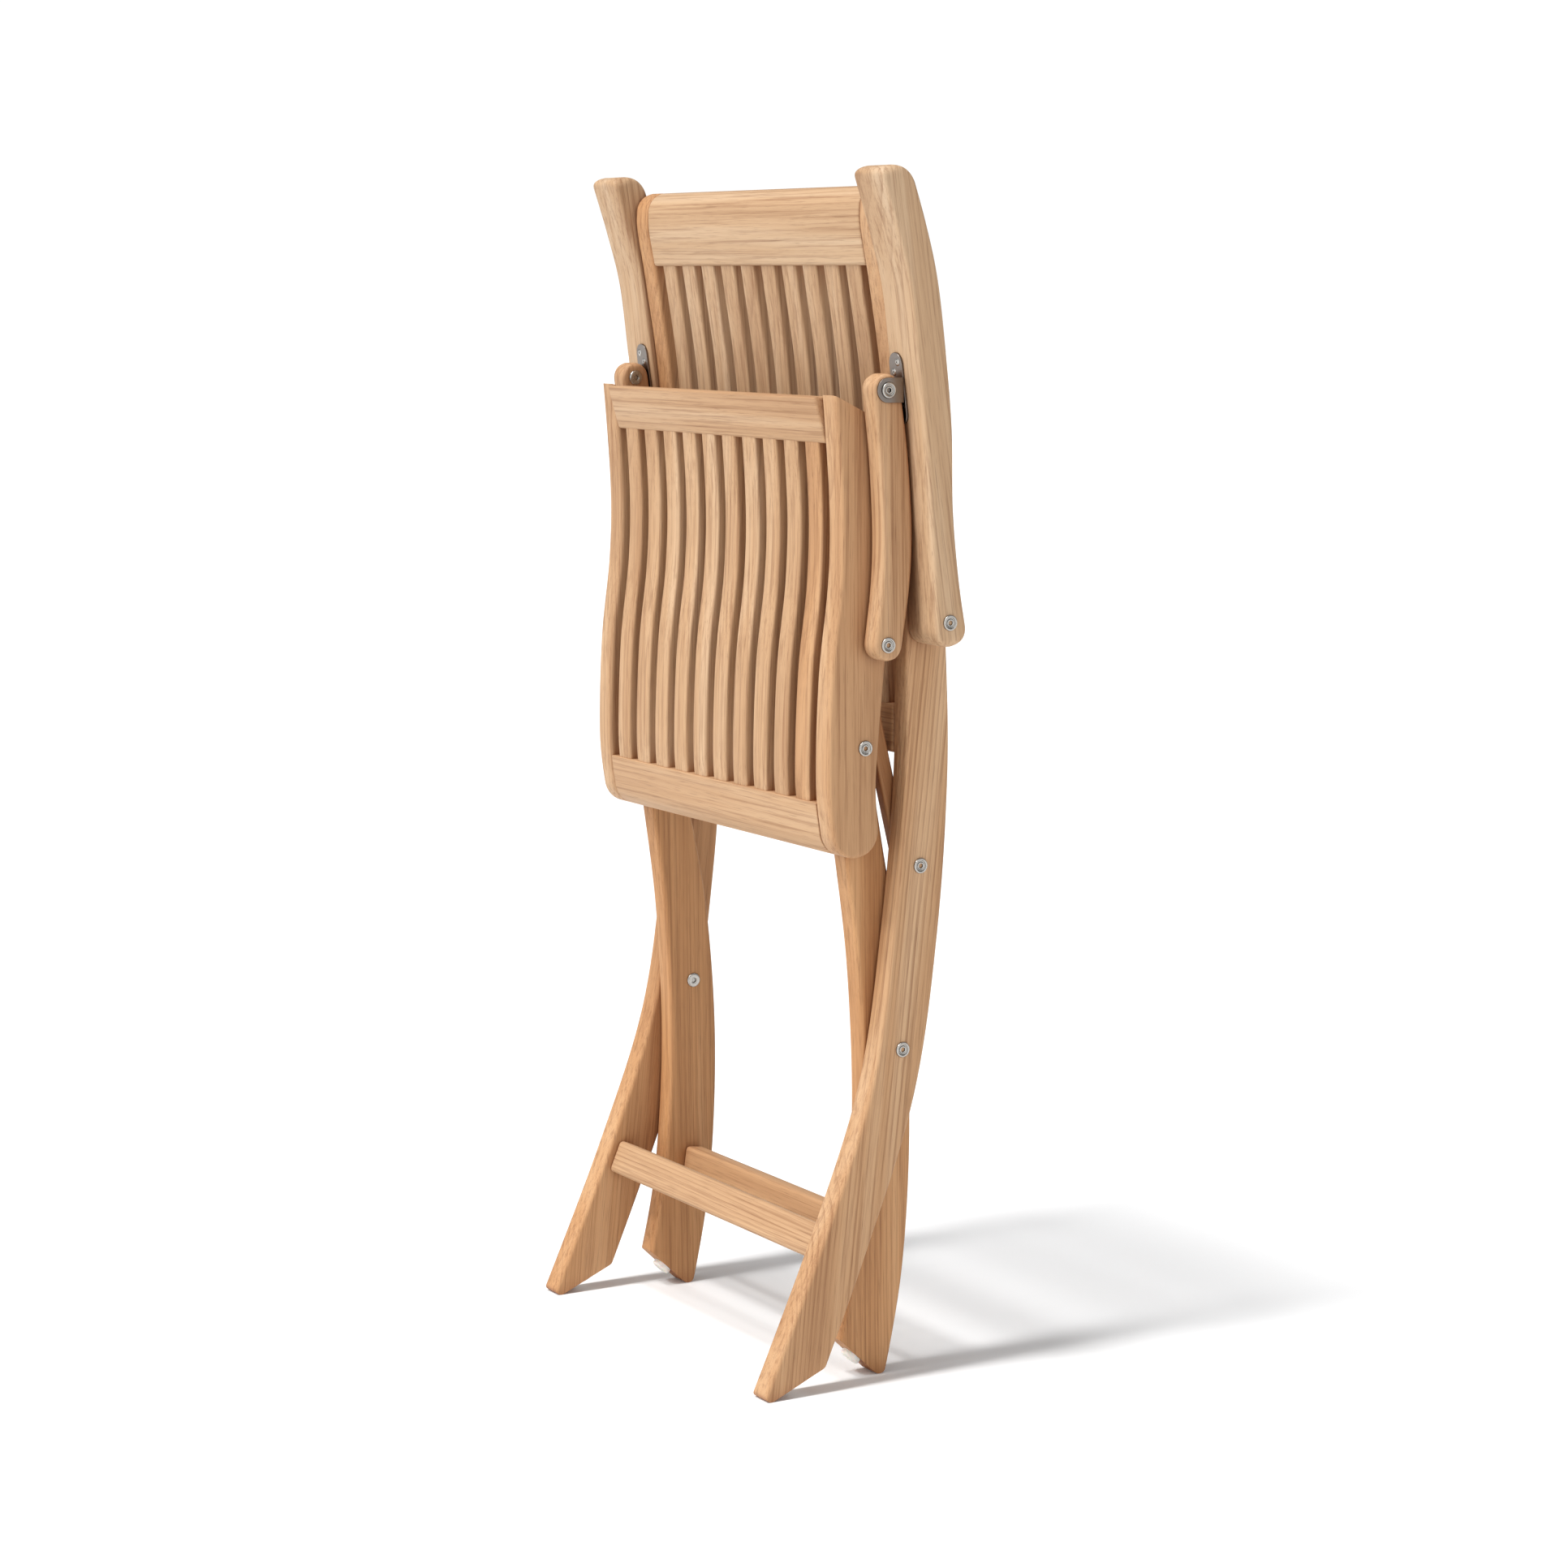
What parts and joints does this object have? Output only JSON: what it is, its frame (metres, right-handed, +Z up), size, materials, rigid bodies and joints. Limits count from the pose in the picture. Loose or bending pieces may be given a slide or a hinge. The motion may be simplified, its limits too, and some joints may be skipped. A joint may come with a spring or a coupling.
{
  "type": "folding garden armchair",
  "caption": "Folded wooden garden armchair: curved uprights with slatted back, slatted seat hung in front, crossing rear legs, and armrests folded alongside on hinged supports.",
  "frame": {"origin": "on the floor, at the centre of the folded chair's footprint box", "axes": "+X across the chair towards its right-hand armrest as seen from the front, -Y towards the sitter's front, +Z up along the folded chair's length"},
  "size_m": [0.5342, 0.1914, 1.0998],
  "materials": {
    "teak_frame": "fine-sanded oiled teak",
    "teak_slat": "fine-sanded oiled teak",
    "brushed_hardware": "brushed stainless steel",
    "bracket_steel": "satin stainless steel, slightly dark",
    "glide_plastic": "milky white moulded plastic"
  },
  "bodies": {
    "frame": {"upright_right": "teak_frame", "upright_left": "teak_frame", "back_top_rail": "teak_frame", "back_bottom_rail": "teak_frame", "front_stretcher": "teak_frame", "back_slat_1": "teak_slat", "back_slat_2": "teak_slat", "back_slat_3": "teak_slat", "back_slat_4": "teak_slat", "back_slat_5": "teak_slat", "back_slat_6": "teak_slat", "back_slat_7": "teak_slat", "back_slat_8": "teak_slat", "back_slat_9": "teak_slat", "back_slat_10": "teak_slat", "front_glides": "glide_plastic", "frame_washers": "brushed_hardware"},
    "rear_legs": {"rear_leg_right": "teak_frame", "rear_leg_left": "teak_frame", "rear_stretcher": "teak_frame", "rear_glides": "glide_plastic", "cross_bolts": "brushed_hardware", "rear_leg_nuts": "brushed_hardware"},
    "seat": {"seat_rail_right": "teak_frame", "seat_rail_left": "teak_frame", "seat_front_rail": "teak_frame", "seat_rear_rail": "teak_frame", "seat_slat_1": "teak_slat", "seat_slat_2": "teak_slat", "seat_slat_3": "teak_slat", "seat_slat_4": "teak_slat", "seat_slat_5": "teak_slat", "seat_slat_6": "teak_slat", "seat_slat_7": "teak_slat", "seat_slat_8": "teak_slat", "seat_slat_9": "teak_slat", "seat_slat_10": "teak_slat", "seat_bolts": "brushed_hardware", "seat_washers": "brushed_hardware"},
    "armrest_right": {"armrest_right": "teak_frame", "bracket_right": "bracket_steel", "bracket_screws_right": "brushed_hardware", "arm_bolts_right": "brushed_hardware"},
    "support_right": {"arm_support_right": "teak_frame"},
    "link_right": {"seat_link_right": "teak_frame", "link_bolt_right": "brushed_hardware"},
    "armrest_left": {"armrest_left": "teak_frame", "bracket_left": "bracket_steel", "bracket_screws_left": "brushed_hardware", "arm_bolts_left": "brushed_hardware"},
    "support_left": {"arm_support_left": "teak_frame"},
    "link_left": {"seat_link_left": "teak_frame", "link_bolt_left": "brushed_hardware"}
  },
  "joints": [
    {"name": "leg_fold", "type": "hinge", "parent": "frame", "child": "rear_legs", "pos_m": [0, 0.04724, 0.3095], "axis": [1, 0, 0], "range_deg": [0, 66.7]},
    {"name": "armrest_swing_right", "type": "hinge", "parent": "frame", "child": "armrest_right", "pos_m": [0.2165, 0.06254, 0.7012], "axis": [1, 0, 0], "range_deg": [0, 93.92]},
    {"name": "support_swing_right", "type": "hinge", "parent": "armrest_right", "child": "support_right", "pos_m": [0.22925, 0.01154, 0.9057], "axis": [1, 0, 0], "range_deg": [-93.92, 0]},
    {"name": "link_swing_right", "type": "hinge", "parent": "frame", "child": "link_right", "pos_m": [0.203, 0.06504, 0.477], "axis": [1, 0, 0], "range_deg": [0, 93.92]},
    {"name": "armrest_swing_left", "type": "hinge", "parent": "frame", "child": "armrest_left", "pos_m": [-0.2165, 0.06254, 0.7012], "axis": [1, 0, 0], "range_deg": [0, 93.92]},
    {"name": "support_swing_left", "type": "hinge", "parent": "armrest_left", "child": "support_left", "pos_m": [-0.22925, 0.01154, 0.9057], "axis": [1, 0, 0], "range_deg": [-93.92, 0]},
    {"name": "link_swing_left", "type": "hinge", "parent": "frame", "child": "link_left", "pos_m": [-0.203, 0.06504, 0.477], "axis": [1, 0, 0], "range_deg": [0, 93.92]},
    {"name": "seat_swing", "type": "hinge", "parent": "support_right", "child": "seat", "pos_m": [0.22925, 0.01404, 0.6815], "axis": [1, 0, 0], "range_deg": [-65.06, 0]}
  ],
  "couplings": [
    {"joint": "armrest_swing_right", "follows": "leg_fold", "ratio": 1.4006},
    {"joint": "support_swing_right", "follows": "leg_fold", "ratio": -1.4006},
    {"joint": "link_swing_right", "follows": "leg_fold", "ratio": 1.4006},
    {"joint": "armrest_swing_left", "follows": "leg_fold", "ratio": 1.4006},
    {"joint": "support_swing_left", "follows": "leg_fold", "ratio": -1.4006},
    {"joint": "link_swing_left", "follows": "leg_fold", "ratio": 1.4006},
    {"joint": "seat_swing", "follows": "leg_fold", "ratio": -0.96792}
  ]
}
